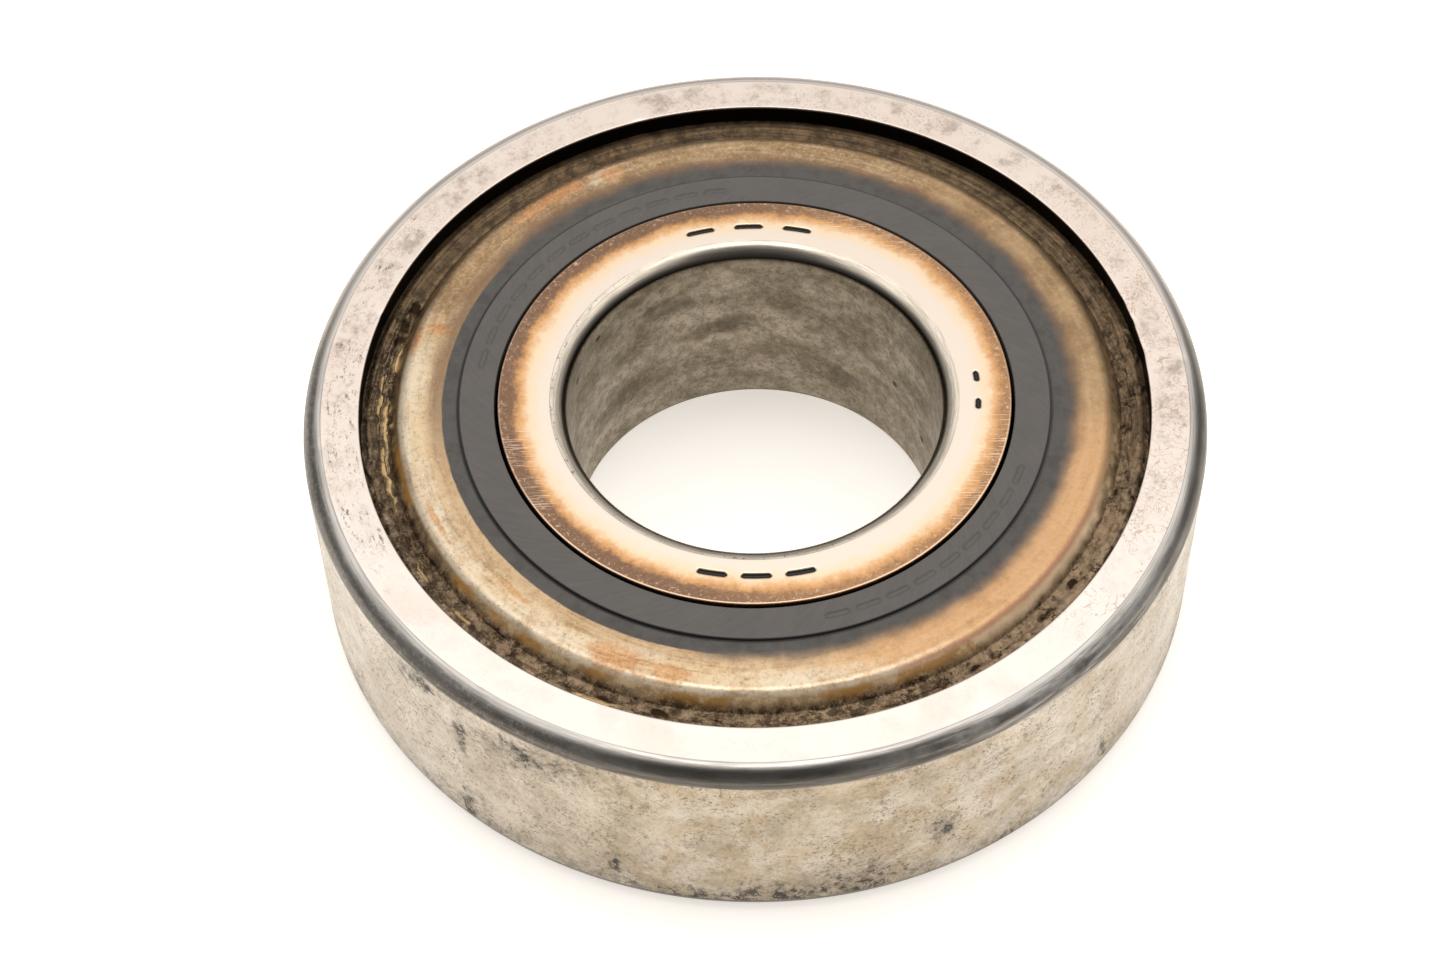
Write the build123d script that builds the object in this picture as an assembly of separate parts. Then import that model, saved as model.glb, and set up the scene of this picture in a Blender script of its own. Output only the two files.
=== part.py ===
from build123d import *

import os

# Sealed deep groove ball bearing. Millimetres, +Z along the axis of rotation,
# origin on that axis at mid-width. Radii are measured from the axis.

# Boundary dimensions
BORE_R = 15.0
OUTSIDE_R = 36.0
WIDTH = 19.0
BORE_CORNER_R = 1.4
OUTSIDE_CORNER_R = 1.54

# Rolling set
BALL_COUNT = 8
BALL_R = 12.303 / 2
PITCH_R = (BORE_R + OUTSIDE_R) / 2
RACE_R = 0.52 * 2 * BALL_R
RACE_CLEARANCE = 0.02

# Ring lands beside the raceways
INNER_SHOULDER_R = 22.3
OUTER_SHOULDER_R = 28.7
SHOULDER_CHAMFER = 0.2
EDGE_BREAK = 0.1

# Seal seats: a step on the inner ring, and a recess with a snap groove in the outer ring
SEAL_LAND_R = 20.45
SEAL_LAND_Z = 6.9
RECESS_R = 31.45
SNAP_GROOVE_R = 31.95
SNAP_GROOVE_TOP_Z = 7.85
SEAL_SEAT_Z = 7.25

# Seal shield: pressed sheet with a flat face, a round shoulder and a beaded rim
SHIELD_T = 0.5
SHIELD_FACE_Z = 9.15
SHIELD_INNER_R = 22.4
SHIELD_SHOULDER_R = 28.1
SHIELD_SHOULDER_BEND_R = 0.9
SHIELD_FOOT_R = 29.1
SHIELD_FOOT_BEND_R = 0.4
SHIELD_OUTER_R = 31.85
RIM_BEAD_R = 30.7
RIM_BEAD_H = 0.2
RIM_BEAD_STEP = 0.125
RIM_BEAD_BEND_R = 0.3

# Seal rubber: a band moulded onto the shield's inner edge, with two lips under it
RUBBER_FACE_Z = 9.4
RUBBER_OUTER_R = 23.55
RUBBER_INNER_R = 20.72
RUBBER_ROOT_Z = 7.9
RUBBER_EDGE_R = 0.08
LIP_CLEARANCE = 0.1
LIP_TOP_Z = 8.65
LIP_TIP_Z = 7.95
LIP_BACK_R = 21.3
GREASE_LIP_Z = 7.05
GREASE_LIP_INNER_R = 21.6
GREASE_LIP_OUTER_R = 22.0
GREASE_LIP_ROOT_R = 22.7

# Cage: two pressed halves riveted together between the balls
CAGE_T = 1.0
CAGE_HALF_BAND = 2.4
POCKET_CLEARANCE = 0.15
RIVET_R = 0.8
RIVET_HEAD_R = 1.5
RIVET_HEAD_H = 0.6
RIVET_HOLE_GAP = 0.02

HALF_WIDTH = WIDTH / 2
BALL_STEP = 360 / BALL_COUNT


def turned(section):
    """The solid that a section, drawn as (radius, height), sweeps about the Z axis."""
    return revolve(Plane.XZ * section, Axis.Z, 360)


def closed(points):
    """A flat section with straight sides through these (radius, height) points."""
    return make_face(Polyline(*points, close=True))


def both_ways(points):
    """These upper-half points and their mirror images below mid-width, as one loop."""
    return [*points, *((radius, -height) for radius, height in reversed(points))]


def corners(section, radius, height):
    """The section's corners at this radius, at this height and its mirror image."""
    wanted = [Vector(radius, height), Vector(radius, -height)]
    return [v for v in section.vertices() if min((Vector(v) - w).length for w in wanted) < 1e-4]


def race_section(bottom_radius, towards_balls):
    """The round raceway's section, tangent to bottom_radius, as a disc to cut away."""
    return Pos(bottom_radius + towards_balls * RACE_R, 0) * Circle(RACE_R)


def around(angle):
    """A place on the pitch circle, at an angle round the axis."""
    return Rot(0, 0, angle) * Pos(PITCH_R, 0)


def outer_ring():
    """Outer ring: round outer corners, raceway, and a seal recess with a snap groove each side."""
    section = closed(
        both_ways(
            [
                (OUTSIDE_R, HALF_WIDTH),
                (RECESS_R, HALF_WIDTH),
                (RECESS_R, SNAP_GROOVE_TOP_Z),
                (SNAP_GROOVE_R, SNAP_GROOVE_TOP_Z),
                (SNAP_GROOVE_R, SEAL_SEAT_Z),
                (OUTER_SHOULDER_R, SEAL_SEAT_Z),
            ]
        )
    )
    section = fillet(corners(section, OUTSIDE_R, HALF_WIDTH), OUTSIDE_CORNER_R)
    section = chamfer(corners(section, RECESS_R, HALF_WIDTH), EDGE_BREAK)
    section = chamfer(corners(section, OUTER_SHOULDER_R, SEAL_SEAT_Z), SHOULDER_CHAMFER)
    return turned(section - race_section(PITCH_R + BALL_R + RACE_CLEARANCE, -1))


def inner_ring():
    """Inner ring: round bore corners, raceway, and a stepped seal land each side."""
    section = closed(
        both_ways(
            [
                (BORE_R, HALF_WIDTH),
                (SEAL_LAND_R, HALF_WIDTH),
                (SEAL_LAND_R, SEAL_LAND_Z),
                (INNER_SHOULDER_R, SEAL_LAND_Z),
            ]
        )
    )
    section = fillet(corners(section, BORE_R, HALF_WIDTH), BORE_CORNER_R)
    section = chamfer(corners(section, SEAL_LAND_R, HALF_WIDTH), EDGE_BREAK)
    section = chamfer(corners(section, INNER_SHOULDER_R, SEAL_LAND_Z), SHOULDER_CHAMFER)
    return turned(section - race_section(PITCH_R - BALL_R - RACE_CLEARANCE, 1))


def seal_shield():
    """Upper seal's shield, pressed from sheet: its mid-line thickened to the sheet's thickness."""
    face_z = SHIELD_FACE_Z - SHIELD_T / 2
    foot_z = SEAL_SEAT_Z + SHIELD_T / 2
    bead_z = foot_z + RIM_BEAD_H
    mid_line = FilletPolyline(
        (SHIELD_INNER_R, face_z),
        (SHIELD_SHOULDER_R, face_z),
        (SHIELD_FOOT_R, foot_z),
        (RIM_BEAD_R - 3 * RIM_BEAD_STEP, foot_z),
        (RIM_BEAD_R - RIM_BEAD_STEP, bead_z),
        (RIM_BEAD_R + RIM_BEAD_STEP, bead_z),
        (RIM_BEAD_R + 3 * RIM_BEAD_STEP, foot_z),
        (SHIELD_OUTER_R, foot_z),
        radius=[SHIELD_SHOULDER_BEND_R, SHIELD_FOOT_BEND_R, *[RIM_BEAD_BEND_R] * 4],
    )
    return turned(trace(mid_line, SHIELD_T))


def seal_rubber(shield):
    """Upper seal's rubber: the band that grips the shield, the main lip and the grease lip."""
    tip_r = SEAL_LAND_R + LIP_CLEARANCE
    section = closed(
        [
            (RUBBER_INNER_R, RUBBER_FACE_Z),
            (RUBBER_OUTER_R, RUBBER_FACE_Z),
            (RUBBER_OUTER_R, RUBBER_ROOT_Z),
            (GREASE_LIP_ROOT_R, RUBBER_ROOT_Z),
            (GREASE_LIP_OUTER_R, GREASE_LIP_Z),
            (GREASE_LIP_INNER_R, GREASE_LIP_Z),
            (GREASE_LIP_INNER_R, RUBBER_ROOT_Z),
            (LIP_BACK_R, LIP_TOP_Z),
            (LIP_BACK_R, LIP_TIP_Z),
            (tip_r, LIP_TIP_Z),
            (RUBBER_INNER_R, LIP_TOP_Z),
        ]
    )
    section = fillet(corners(section, RUBBER_INNER_R, RUBBER_FACE_Z), RUBBER_EDGE_R)
    section = fillet(corners(section, RUBBER_OUTER_R, RUBBER_FACE_Z), RUBBER_EDGE_R)
    return turned(section) - shield


def flipped(part):
    """The same part turned over, for the lower side of the bearing."""
    return Rot(180, 0, 0) * part


def cage_half():
    """Upper cage half: a flat band with a round pocket over each ball and the rivet holes."""
    pocket_r = BALL_R + POCKET_CLEARANCE
    low = (Align.CENTER, Align.CENTER, Align.MIN)
    band = Cylinder(PITCH_R + CAGE_HALF_BAND, CAGE_T, align=low)
    limits = Cylinder(PITCH_R + CAGE_HALF_BAND, HALF_WIDTH, align=low)
    limits -= Cylinder(PITCH_R - CAGE_HALF_BAND, 2 * WIDTH)
    balls = [around(i * BALL_STEP) for i in range(BALL_COUNT)]
    rivets = [around((i + 0.5) * BALL_STEP) for i in range(BALL_COUNT)]
    pressed = band + [place * Sphere(pocket_r + CAGE_T) for place in balls]
    pockets = [place * Sphere(pocket_r) for place in balls]
    holes = [place * Cylinder(RIVET_R + RIVET_HOLE_GAP, WIDTH) for place in rivets]
    return (pressed & limits) - pockets - holes


def rivet():
    """A rivet on the Z axis with a domed head closed down on each side of the cage halves."""
    dome_r = (RIVET_HEAD_R**2 + RIVET_HEAD_H**2) / (2 * RIVET_HEAD_H)
    crown = (0, CAGE_T + RIVET_HEAD_H)
    rim = (RIVET_HEAD_R, CAGE_T)
    head = make_face(Polyline(crown, (0, CAGE_T), rim) + RadiusArc(crown, rim, dome_r))
    shank = closed([(0, -CAGE_T), (RIVET_R, -CAGE_T), (RIVET_R, CAGE_T), (0, CAGE_T)])
    return turned(shank + head + mirror(head, Plane.XZ))


def build():
    """Every sub-part in place, by node name."""
    shield = seal_shield()
    rubber = seal_rubber(shield)
    half = cage_half()
    parts = {
        "outer_ring": outer_ring(),
        "inner_ring": inner_ring(),
        "upper_seal_shield": shield,
        "upper_seal_rubber": rubber,
        "lower_seal_shield": flipped(shield),
        "lower_seal_rubber": flipped(rubber),
        "cage_half_upper": half,
        "cage_half_lower": flipped(half),
    }
    for i in range(BALL_COUNT):
        parts[f"ball_{i + 1}"] = around(i * BALL_STEP) * Sphere(BALL_R)
        parts[f"cage_rivet_{i + 1}"] = around((i + 0.5) * BALL_STEP) * rivet()
    return parts


def main():
    os.makedirs("parts", exist_ok=True)
    for name, part in build().items():
        export_step(part, f"parts/{name}.step")


main()
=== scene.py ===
import math

import bpy
import numpy as np
from mathutils import Matrix, Vector


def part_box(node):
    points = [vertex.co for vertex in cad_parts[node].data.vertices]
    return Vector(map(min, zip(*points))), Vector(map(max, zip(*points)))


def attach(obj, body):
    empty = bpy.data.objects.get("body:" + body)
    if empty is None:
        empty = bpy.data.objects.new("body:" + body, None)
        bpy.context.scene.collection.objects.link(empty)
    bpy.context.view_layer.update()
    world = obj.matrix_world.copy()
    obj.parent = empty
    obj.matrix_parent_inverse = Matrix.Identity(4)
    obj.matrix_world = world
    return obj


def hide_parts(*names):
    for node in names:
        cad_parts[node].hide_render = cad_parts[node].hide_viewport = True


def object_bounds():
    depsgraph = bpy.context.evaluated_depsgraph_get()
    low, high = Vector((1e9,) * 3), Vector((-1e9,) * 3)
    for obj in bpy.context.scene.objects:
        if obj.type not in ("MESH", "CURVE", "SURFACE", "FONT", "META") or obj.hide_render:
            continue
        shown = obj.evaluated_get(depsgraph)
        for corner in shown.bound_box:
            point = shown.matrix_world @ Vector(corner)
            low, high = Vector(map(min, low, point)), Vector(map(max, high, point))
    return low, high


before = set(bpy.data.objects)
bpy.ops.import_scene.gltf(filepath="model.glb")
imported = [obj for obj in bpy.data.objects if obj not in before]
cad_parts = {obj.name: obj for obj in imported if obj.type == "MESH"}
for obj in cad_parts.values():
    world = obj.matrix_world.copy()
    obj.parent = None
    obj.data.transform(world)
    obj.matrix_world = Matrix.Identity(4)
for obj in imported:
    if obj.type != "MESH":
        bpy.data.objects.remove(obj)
CAD_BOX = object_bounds()

# Lengths are millimetres in the row frame, turned to metres by MM where they reach Blender.
MM = 0.001
OUTSIDE_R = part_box("outer_ring")[1].x / MM
HALF_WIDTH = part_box("outer_ring")[1].z / MM
INNER_SHOULDER_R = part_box("inner_ring")[1].x / MM
SHIELD_OUTER_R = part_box("upper_seal_shield")[1].x / MM
SHIELD_SEAT_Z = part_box("upper_seal_shield")[0].z / MM
SHIELD_FACE_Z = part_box("upper_seal_shield")[1].z / MM
RUBBER_OUTER_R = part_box("upper_seal_rubber")[1].x / MM
RUBBER_FACE_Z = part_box("upper_seal_rubber")[1].z / MM
GREASE_LIP_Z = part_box("upper_seal_rubber")[0].z / MM
BALL_R = (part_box("ball_1")[1].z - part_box("ball_1")[0].z) / MM / 2
PITCH_R = (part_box("ball_1")[1].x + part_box("ball_1")[0].x) / MM / 2

# Section sizes that no node's box gives
BORE_R = 15.0
OUTSIDE_CORNER_R = 1.54
BORE_CORNER_R = 1.4
RECESS_R = 31.45
SNAP_GROOVE_R = 31.95
SNAP_GROOVE_TOP_Z = 7.85
OUTER_SHOULDER_R = 28.7
SEAL_LAND_R = 20.45
SEAL_LAND_Z = 6.9
RACE_R = 0.52 * 2 * BALL_R
RACE_CLEARANCE = 0.02
EDGE_BREAK = 0.1
SHOULDER_CHAMFER = 0.2
SHIELD_T = 0.5
SHIELD_INNER_R = 22.4
SHIELD_SHOULDER_R = 28.1
SHIELD_FOOT_R = 29.1
SHOULDER_BEND_R = 0.9
FOOT_BEND_TOP_R = 0.15
FOOT_BEND_UNDER_R = 0.5
RIM_BEAD_R = 30.7
RIM_BEAD_STEP = 0.2
RIM_BEAD_H = 0.2
RUBBER_INNER_R = 20.72
RUBBER_ROOT_Z = 7.9
RUBBER_EDGE_R = 0.08
LIP_TIP_R = 20.55
LIP_TIP_Z = 7.95
LIP_TOP_Z = 8.65
LIP_BACK_R = 21.3
GREASE_LIP_INNER_R = 21.6
GREASE_LIP_OUTER_R = 22.0
GREASE_LIP_ROOT_R = 22.7

# How finely the sections are divided: shown faces, round edges, short steps and hidden faces
FINE = 0.09
EDGE = 0.05
SHORT = 0.3
COARSE = 0.6
STEPS_ROUND = 1150
RACE_CORNERS = 41


# Shapes: closed sections turned about the axis, with relief pressed into the surface


def rounded(corners):
    """A closed loop of (radius, height) points through corners given as (radius, height, bend, step).

    bend rounds the corner, and step divides the side from this corner to the next.
    """
    points = []
    count = len(corners)
    for i, (r, z, bend, step) in enumerate(corners):
        here = np.array([r, z])
        before = np.array(corners[i - 1][:2]) - here
        after = np.array(corners[(i + 1) % count][:2]) - here
        arc = bent_corner(here, before, after, bend)
        following = corners[(i + 1) % count]
        target = np.array(following[:2])
        beyond = np.array(corners[(i + 2) % count][:2])
        setback = bend_setback(here - target, beyond - target, following[2])
        end = target + unit(here - target) * setback
        length = np.linalg.norm(end - arc[-1])
        pieces = max(1, round(length / step))
        side = [arc[-1] + (end - arc[-1]) * k / pieces for k in range(1, pieces)]
        points += [*arc, *side]
    return np.array(points)


def unit(v):
    return v / np.linalg.norm(v)


def bend_setback(before, after, bend):
    """How far a bend of this radius starts from the corner between two sides."""
    cosine = np.dot(unit(before), unit(after))
    half = math.acos(max(-1.0, min(1.0, cosine))) / 2
    return bend / math.tan(half)


def bent_corner(corner, before, after, bend):
    """Points round one corner: the corner itself where it isn't bent."""
    if bend == 0:
        return [corner]
    setback = bend_setback(before, after, bend)
    middle = unit(unit(before) + unit(after))
    centre = corner + middle * math.hypot(setback, bend)
    start = corner + unit(before) * setback - centre
    finish = corner + unit(after) * setback - centre
    sweep = math.acos(max(-1.0, min(1.0, np.dot(unit(start), unit(finish)))))
    turn = math.copysign(sweep, start[0] * finish[1] - start[1] * finish[0])
    steps = max(3, round(bend * sweep / EDGE))
    angles = [turn * k / steps for k in range(steps + 1)]
    return [centre + rotated(start, angle) for angle in angles]


def rotated(v, angle):
    c, s = math.cos(angle), math.sin(angle)
    return np.array([v[0] * c - v[1] * s, v[0] * s + v[1] * c])


def raceway(bottom_radius, towards_balls, shoulder_radius):
    """The raceway's arc from the upper shoulder to the lower, as unbent corners."""
    centre = bottom_radius + towards_balls * RACE_R
    reach = math.acos((shoulder_radius - centre) * -towards_balls / RACE_R)
    angles = np.linspace(reach, -reach, RACE_CORNERS)
    return [
        (centre - towards_balls * RACE_R * math.cos(a), RACE_R * math.sin(a), 0, COARSE) for a in angles
    ]


def placed(name, data):
    made = bpy.data.objects.new(name, data)
    bpy.context.scene.collection.objects.link(made)
    return made


def turned(name, section, relief):
    """A closed mesh ring: the section swept round the axis, each point moved along its normal by relief.

    relief takes each point's angle, radius, height and how far its normal points up, from -1 to 1.
    """
    theta = np.linspace(0, 2 * math.pi, STEPS_ROUND, endpoint=False)[:, None]
    along = np.roll(section, -1, 0) - np.roll(section, 1, 0)
    along /= np.linalg.norm(along, axis=1)[:, None]
    r = np.broadcast_to(section[:, 0], (STEPS_ROUND, len(section)))
    z = np.broadcast_to(section[:, 1], (STEPS_ROUND, len(section)))
    height = relief(theta + 0 * r, r, z, -along[:, 0])
    r = r + height * along[:, 1]
    z = z - height * along[:, 0]
    points = place(theta, r, z).reshape(-1, 3) * MM
    width = len(section)
    i, j = np.meshgrid(np.arange(STEPS_ROUND), np.arange(width), indexing="ij")
    k = (i + 1) % STEPS_ROUND
    m = (j + 1) % width
    faces = np.stack([i * width + j, k * width + j, k * width + m, i * width + m], -1).reshape(-1, 4)
    mesh = bpy.data.meshes.new(name)
    mesh.from_pydata(points.tolist(), [], faces.tolist())
    mesh.polygons.foreach_set("use_smooth", np.ones(len(faces), bool))
    mesh.update()
    return placed(name, mesh)


def smooth(low, high, value):
    """0 at low, 1 at high, and a smooth rise between. low may be the larger of the two."""
    t = np.clip((value - low) / (high - low), 0, 1)
    return t * t * (3 - 2 * t)


def lattice(cell, seed):
    """A repeatable random number from 0 to 1 for each whole-number cell."""
    mixed = (cell.astype(np.int64) * np.array([73856093, 19349663, 83492791])).sum(-1) + seed * 2654435
    mixed = (mixed ^ (mixed >> 13)) * 1274126177
    return ((mixed ^ (mixed >> 16)) & 0xFFFF) / 0xFFFF


def cloud(points, seed):
    """Smooth random values from 0 to 1, with one lattice cell to a unit of length."""
    cell = np.floor(points)
    t = points - cell
    t = t * t * (3 - 2 * t)
    total = 0
    for corner in np.ndindex(2, 2, 2):
        offset = np.array(corner)
        weight = np.where(offset == 1, t, 1 - t).prod(-1)
        total = total + weight * lattice(cell + offset, seed)
    return total


def rough_cloud(points, seed, layers=3):
    """Clouds at halving sizes added up, from 0 to 1."""
    total = sum(cloud(points * 2**n, seed + n) / 2**n for n in range(layers))
    return total / sum(1 / 2**n for n in range(layers))


def place(theta, r, z):
    return np.stack([r * np.cos(theta), r * np.sin(theta), z], -1)


def stretched(theta, r, z, along, across):
    """Places in a space where clouds are about along mm long round the ring and across mm wide."""
    ring = PITCH_R / along
    return np.stack([ring * np.cos(theta), ring * np.sin(theta), (r + z) / across], -1)


def spot(theta, r, angle, radius, length, width):
    """A round-edged spot, 1 at its centre, length mm round the ring by width mm across it."""
    turn = (theta - math.radians(angle) + math.pi) % (2 * math.pi) - math.pi
    return np.exp(-((turn * radius / length) ** 2) - ((r - radius) / width) ** 2)


# Outer ring

CORNER_TOP_R = OUTSIDE_R - OUTSIDE_CORNER_R
EDGE_NICKS = (  # angle, radius, length, width, depth
    (7, RECESS_R, 0.9, 0.25, 0.10),
    (13, RECESS_R, 0.5, 0.2, 0.08),
    (17, RECESS_R, 0.6, 0.2, 0.07),
    (108, RECESS_R, 0.5, 0.2, 0.06),
    (164, RECESS_R, 0.4, 0.2, 0.06),
    (5, CORNER_TOP_R, 0.5, 0.35, 0.05),
    (188, CORNER_TOP_R, 0.8, 0.4, 0.05),
    (233, CORNER_TOP_R, 0.5, 0.3, 0.04),
    (299, CORNER_TOP_R, 0.9, 0.3, 0.04),
)


def pits(theta, r, z, size, share, seed):
    """Small pits, from 0 to 1, in about this share of cells of this size."""
    return smooth(1 - share, 1, cloud(place(theta, r, z) / size, seed))


def outer_relief(theta, r, z, up):
    """Wear in the ring's ground faces, always below the true surface."""
    patchy = smooth(0.45, 0.7, cloud(place(theta, r, z) / 6, 11))
    face = (np.abs(up) > 0.99) & (r > RECESS_R - 0.01)
    wall = r > OUTSIDE_R - 0.01
    height = -0.008 * pits(theta, r, z, 0.35, 0.25, 3) * patchy * (face | wall)
    height -= 0.035 * pits(theta, r, z, 0.5, 0.12, 5) * patchy * wall
    height -= 0.004 * rough_cloud(stretched(theta, r, z, 4, 0.4), 21) * (face | wall)
    for angle, radius, length, width, depth in EDGE_NICKS:
        height -= depth * spot(theta, r, angle, radius, length, width) * (z > 0)
        height -= depth * spot(theta, r, angle + 140, radius, length, width) * (z < 0)
    return height * (r > RECESS_R - 0.2)


def mirrored(corners, steps):
    """The same corners below mid-width, in the order that carries the loop on, with their own steps."""
    return [(r, -z, bend, step) for (r, z, bend, _), step in zip(reversed(corners), steps)]


def outer_ring():
    lip = [
        (OUTSIDE_R, HALF_WIDTH, OUTSIDE_CORNER_R, FINE),
        (RECESS_R, HALF_WIDTH, EDGE_BREAK, SHORT),
        (RECESS_R, SNAP_GROOVE_TOP_Z, 0, COARSE),
        (SNAP_GROOVE_R, SNAP_GROOVE_TOP_Z, 0, COARSE),
        (SNAP_GROOVE_R, SHIELD_SEAT_Z, 0, COARSE),
        (OUTER_SHOULDER_R, SHIELD_SEAT_Z, SHOULDER_CHAMFER, COARSE),
    ]
    race = raceway(PITCH_R + BALL_R + RACE_CLEARANCE, -1, OUTER_SHOULDER_R)
    below = mirrored(lip, (COARSE, COARSE, COARSE, FINE, FINE, SHORT))
    piece = turned("outer_ring_ground", rounded([*lip, *race, *below]), outer_relief)
    return finish_piece(piece, "outer", outer_steel(), "outer_ring")


# Inner ring

MARK_DEPTH = 0.18
MARK_R = 17.8
MARK_HALF_WIDTH = 0.26
FACE_MARKS = (  # angle and half-length round the ring of each plain stamped dash
    *((angle, 0.95) for angle in (78, 91, 104)),
    *((angle, 0.95) for angle in (259, 270, 281)),
    *((angle, 0.3) for angle in (5, -4)),
)


def inner_relief(theta, r, z, up):
    """Light wear, and the stamped dashes in the upper face."""
    face = (np.abs(up) > 0.99) * (np.abs(z) > HALF_WIDTH - 0.01)
    bore = r < BORE_R + 0.01
    height = -0.006 * pits(theta, r, z, 0.4, 0.15, 31) * face
    height = height - 0.02 * pits(theta, r, z, 0.5, 0.12, 33) * bore
    height = height - 0.01 * rough_cloud(stretched(theta, r, z, 3, 0.8), 35) * bore
    for angle, half_length in FACE_MARKS:
        turn = (theta - math.radians(angle) + math.pi) % (2 * math.pi) - math.pi
        along = np.maximum(np.abs(turn * MARK_R) - half_length, 0)
        from_line = np.hypot(along, r - MARK_R)
        dash = smooth(MARK_HALF_WIDTH, MARK_HALF_WIDTH / 2, from_line)
        height = height - MARK_DEPTH * dash * face * (z > 0)
    return height


def inner_ring():
    half = [
        (BORE_R, HALF_WIDTH, BORE_CORNER_R, FINE),
        (SEAL_LAND_R, HALF_WIDTH, EDGE_BREAK, COARSE),
        (SEAL_LAND_R, SEAL_LAND_Z, 0, COARSE),
        (INNER_SHOULDER_R, SEAL_LAND_Z, SHOULDER_CHAMFER, COARSE),
    ]
    race = raceway(PITCH_R - BALL_R - RACE_CLEARANCE, 1, INNER_SHOULDER_R)
    below = mirrored(half, (COARSE, COARSE, FINE, FINE * 3))
    section = rounded([*half, *race, *below])[::-1]
    piece = turned("inner_ring_ground", section, inner_relief)
    return finish_piece(piece, "inner", inner_steel(), "inner_ring")


# Seals

GRIME_LUMPS = (  # angle, radius, length, width, height
    (159, 29.7, 0.9, 0.6, 0.35),
    (163, 29.9, 0.8, 0.5, 0.40),
    (166, 29.8, 0.5, 0.4, 0.25),
    (248, 30.0, 0.8, 0.3, 0.20),
    (256, 29.9, 0.7, 0.3, 0.22),
    (303, 30.2, 0.5, 0.3, 0.20),
    (317, 30.1, 0.9, 0.4, 0.25),
    (324, 29.8, 0.6, 0.3, 0.20),
    (342, 29.8, 0.5, 0.3, 0.20),
    (355, 29.6, 0.4, 0.3, 0.18),
)


def shield_relief(side):
    """Sheet dents, concentric crimp lines and caked grime in the recess."""

    def relief(theta, r, z, up):
        shown = up > 0.05
        recess = smooth(28.5, 29.3, r) * shown
        streaks = rough_cloud(stretched(theta, r, z, 9, 0.3), 41 + side)
        lumps = rough_cloud(place(theta, r, z) / 0.9, 45 + side)
        caked = smooth(0.35, 0.6, cloud(place(theta, r, z) / 4, 47 + side))
        settled = 1 - 0.7 * smooth(0.2, 0.8, np.sin(theta))
        height = recess * (0.04 * streaks + 0.28 * smooth(0.42, 0.75, lumps) * caked * settled)
        for angle, radius, length, width, peak in GRIME_LUMPS:
            lump = spot(theta, r, angle + 95 * side, radius, length, width)
            height = height + peak * lump * lumps * recess
        height = height + 0.03 * (rough_cloud(place(theta, r, z) / 5, 49 + side) - 0.5) * shown
        return height * smooth(RECESS_R - 0.02, RECESS_R - 0.12, r)

    return relief


def shield_section():
    """The pressed sheet's outline: its outer face from the rubber to the rim, and back under it."""
    foot_top = SHIELD_SEAT_Z + SHIELD_T
    slope = math.atan2(SHIELD_FACE_Z - foot_top, SHIELD_FOOT_R - SHIELD_SHOULDER_R)
    shift = SHIELD_T * math.tan(slope / 2) / 2
    bends = SHOULDER_BEND_R + SHIELD_T / 2, SHOULDER_BEND_R - SHIELD_T / 2
    crest = foot_top + RIM_BEAD_H
    return rounded(
        [
            (SHIELD_OUTER_R, SHIELD_SEAT_Z, 0.05, COARSE),
            (SHIELD_OUTER_R, foot_top, 0.05, FINE),
            (RIM_BEAD_R + 3 * RIM_BEAD_STEP, foot_top, 0.15, EDGE),
            (RIM_BEAD_R + RIM_BEAD_STEP, crest, 0.1, EDGE),
            (RIM_BEAD_R - RIM_BEAD_STEP, crest, 0.1, EDGE),
            (RIM_BEAD_R - 3 * RIM_BEAD_STEP, foot_top, 0.15, EDGE),
            (SHIELD_FOOT_R + shift, foot_top, FOOT_BEND_TOP_R, FINE),
            (SHIELD_SHOULDER_R + shift, SHIELD_FACE_Z, bends[0], 0.15),
            (SHIELD_INNER_R, SHIELD_FACE_Z, 0, COARSE),
            (SHIELD_INNER_R, SHIELD_FACE_Z - SHIELD_T, 0, COARSE),
            (SHIELD_SHOULDER_R - shift, SHIELD_FACE_Z - SHIELD_T, bends[1], COARSE),
            (SHIELD_FOOT_R - shift, SHIELD_SEAT_Z, FOOT_BEND_UNDER_R, COARSE),
        ]
    )


MOULDED_ARCS = ((286, 338), (98, 172))  # first and last of the moulded dashes, in degrees
DASH_SPACING = 6.5
DASH_HALF_LENGTH = 0.75
DASH_HALF_WIDTH = 0.16
DASH_DEPTH = 0.12


def rubber_relief(side):
    """A dull moulded skin with two rows of plain dashes in its middle."""

    def relief(theta, r, z, up):
        face = (up > 0.99) & (z > RUBBER_FACE_Z - 0.02)
        height = 0.02 * (rough_cloud(place(theta, r, z) / 1.5, 61 + side) - 0.6) * face
        middle = (RUBBER_INNER_R + RUBBER_OUTER_R) / 2
        degrees = np.degrees(theta)
        for first, last in MOULDED_ARCS:
            nearest = first + np.round((degrees - first) / DASH_SPACING) * DASH_SPACING
            inside = (nearest >= first) & (nearest <= last)
            along = np.maximum(np.abs(np.radians(degrees - nearest)) * middle - DASH_HALF_LENGTH, 0)
            dash = smooth(DASH_HALF_WIDTH + 0.12, DASH_HALF_WIDTH, np.hypot(along, r - middle))
            height = height - DASH_DEPTH * dash * inside * face
        return height

    return relief


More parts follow.
